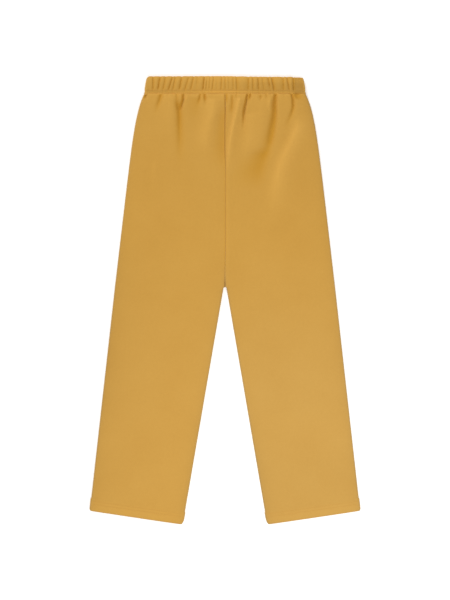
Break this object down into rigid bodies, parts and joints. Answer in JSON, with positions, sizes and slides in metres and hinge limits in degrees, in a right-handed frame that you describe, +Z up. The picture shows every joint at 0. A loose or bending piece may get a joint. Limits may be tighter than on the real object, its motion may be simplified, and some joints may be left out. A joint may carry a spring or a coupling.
{
  "type": "track pants",
  "caption": "Child's wide-leg fleece track pants laid flat, with a gathered elastic waistband, a centre seam and plain turned-up hems.",
  "frame": {"origin": "centre of the garment's bounding box, on the surface that it lies on", "axes": "+X to the wearer's left, +Y up the garment to the waistband, +Z up from the surface, out of the front"},
  "size_m": [0.424, 0.7, 0.008],
  "materials": {
    "fleece": "mustard brushed cotton fleece, matt, fine knit face",
    "casing": "the same fleece gathered over elastic"
  },
  "bodies": {
    "root": {"front_left": "fleece", "front_right": "fleece", "back_left": "fleece", "back_right": "fleece", "waistband": "casing"}
  },
  "joints": []
}
